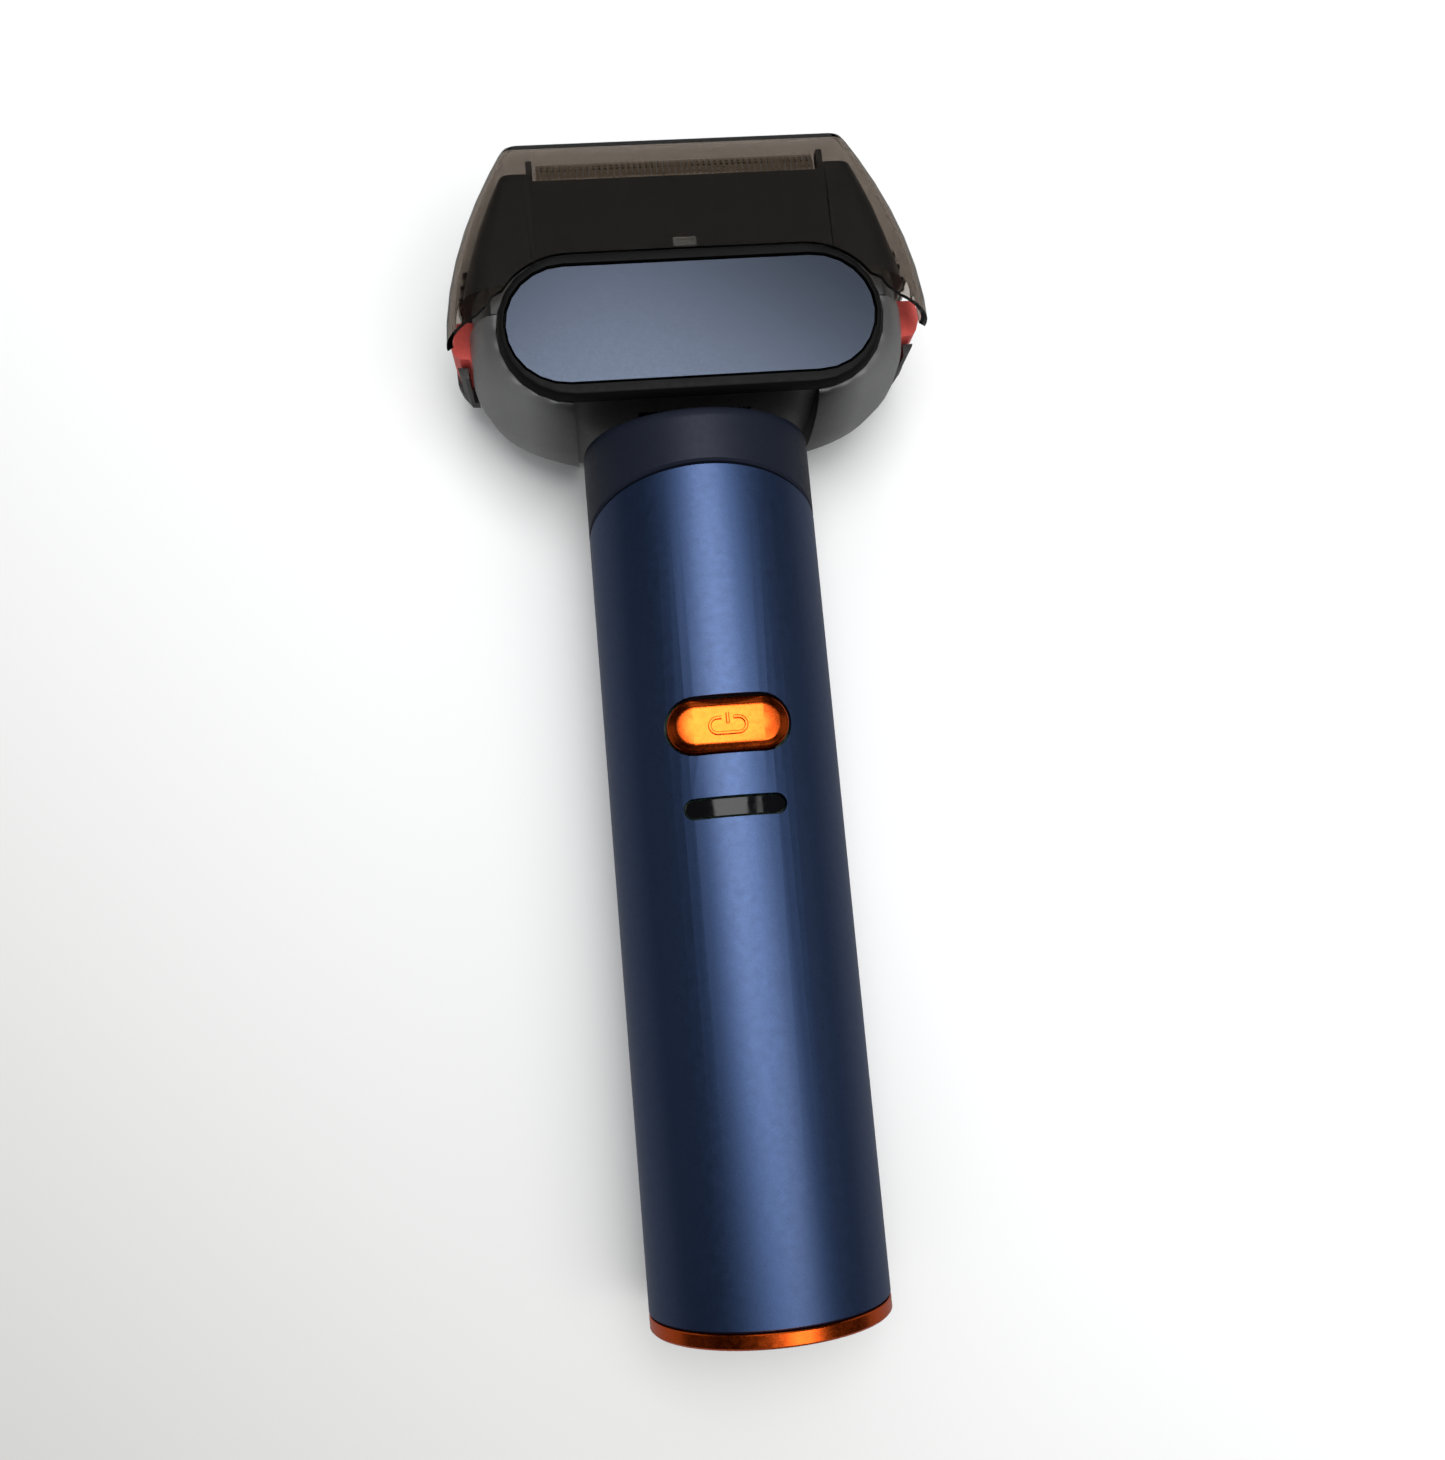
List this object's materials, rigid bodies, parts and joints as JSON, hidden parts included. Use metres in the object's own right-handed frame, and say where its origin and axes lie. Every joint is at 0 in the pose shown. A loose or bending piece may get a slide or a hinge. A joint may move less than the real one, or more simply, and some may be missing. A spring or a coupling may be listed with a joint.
{
  "type": "electric shaver",
  "caption": "T-shaped cordless foil shaver with a round handle, rocking head, lift-off foil cassette, side release buttons and a clear travel cap.",
  "frame": {"origin": "under the middle of the shaver, on the surface it lies on", "axes": "+X across the head to the right seen from the front, +Y along the handle towards the head, +Z out of the front"},
  "size_m": [0.0628, 0.1516, 0.03],
  "materials": {
    "blue_aluminium": "satin blue anodised",
    "navy_satin": "satin navy lacquer",
    "grey_satin": "satin charcoal",
    "black_plastic": "semi-gloss black",
    "slate_metal": "satin slate blue",
    "copper_gloss": "tinted metallic orange",
    "red_plastic": "matte red",
    "smoky_clear": "smoky clear plastic",
    "window_black": "polished black",
    "steel": "plain steel",
    "copper_wire": "enamelled copper",
    "rubber": "soft black",
    "board_green": "green board",
    "cell_wrap": "shrink wrap",
    "milky": "milky clear"
  },
  "bodies": {
    "handle": {"handle_tube": "blue_aluminium", "neck_collar": "navy_satin", "neck_post": "black_plastic", "bottom_ring": "copper_gloss", "bottom_plug": "black_plastic", "socket_shell": "steel", "socket_tongue": "black_plastic", "inner_chassis": "black_plastic", "circuit_board": "board_green", "battery": "cell_wrap", "battery_tab_lower": "steel", "battery_tab_upper": "steel", "tact_switch": "black_plastic", "button_seal": "rubber", "light_guide": "milky", "indicator_window": "window_black"},
    "power_button": {"power_button": "copper_gloss"},
    "head": {"head_housing": "grey_satin", "front_bezel": "black_plastic", "front_plate": "slate_metal", "head_deck": "black_plastic", "pivot_bracket": "steel", "pivot_pin": "steel", "pivot_spring": "steel", "release_guard_left": "black_plastic", "release_guard_right": "black_plastic", "coil_core_left": "steel", "coil_core_right": "steel", "coil_front_left": "copper_wire", "coil_front_right": "copper_wire", "coil_rear_left": "copper_wire", "coil_rear_right": "copper_wire", "release_spring_left": "steel", "release_spring_right": "steel"},
    "release_left": {"release_button_left": "red_plastic"},
    "release_right": {"release_button_right": "red_plastic"},
    "drive_front": {"armature_front": "steel", "drive_pin_front": "steel"},
    "drive_rear": {"armature_rear": "steel", "drive_pin_rear": "steel"},
    "cassette": {"cassette_frame": "black_plastic", "foil_front": "steel", "foil_rear": "steel", "trimmer_comb": "steel"},
    "cutter_front": {"cutter_front": "steel", "cutter_carrier_front": "black_plastic", "cutter_spring_front_left": "steel", "cutter_spring_front_right": "steel"},
    "cutter_rear": {"cutter_rear": "steel", "cutter_carrier_rear": "black_plastic", "cutter_spring_rear_left": "steel", "cutter_spring_rear_right": "steel", "trimmer_blade": "steel"},
    "cap": {"travel_cap": "smoky_clear"}
  },
  "joints": [
    {"name": "power_press", "type": "slide", "parent": "handle", "child": "power_button", "axis": [0, 0, -1], "range_m": [0, 0.0004], "stiffness_N_per_m": 900},
    {"name": "head_rock", "type": "hinge", "parent": "handle", "child": "head", "pos_m": [0, 0.04425, 0.015], "axis": [1, 0, 0], "range_deg": [-8, 8], "stiffness_Nm_per_rad": 0.2},
    {"name": "release_left_press", "type": "slide", "parent": "head", "child": "release_left", "axis": [1, 0, 0], "range_m": [0, 0.001], "stiffness_N_per_m": 500, "deforming": ["release_spring_left"]},
    {"name": "release_right_press", "type": "slide", "parent": "head", "child": "release_right", "axis": [-1, 0, 0], "range_m": [0, 0.001], "stiffness_N_per_m": 500, "deforming": ["release_spring_right"]},
    {"name": "cassette_pull", "type": "slide", "parent": "head", "child": "cassette", "axis": [0, 1, 0], "range_m": [0, 0.025]},
    {"name": "cap_pull", "type": "slide", "parent": "cassette", "child": "cap", "axis": [0, 1, 0], "range_m": [0, 0.03]},
    {"name": "drive_front_swing", "type": "slide", "parent": "head", "child": "drive_front", "axis": [1, 0, 0], "range_m": [-0.0012, 0.0012], "stiffness_N_per_m": 400},
    {"name": "drive_rear_swing", "type": "slide", "parent": "head", "child": "drive_rear", "axis": [1, 0, 0], "range_m": [-0.0012, 0.0012]},
    {"name": "cutter_front_swing", "type": "slide", "parent": "cassette", "child": "cutter_front", "axis": [1, 0, 0], "range_m": [-0.0012, 0.0012]},
    {"name": "cutter_rear_swing", "type": "slide", "parent": "cassette", "child": "cutter_rear", "axis": [1, 0, 0], "range_m": [-0.0012, 0.0012]}
  ],
  "couplings": [
    {"joint": "drive_rear_swing", "follows": "drive_front_swing", "ratio": -1},
    {"joint": "cutter_front_swing", "follows": "drive_front_swing", "ratio": 1},
    {"joint": "cutter_rear_swing", "follows": "drive_front_swing", "ratio": -1}
  ]
}
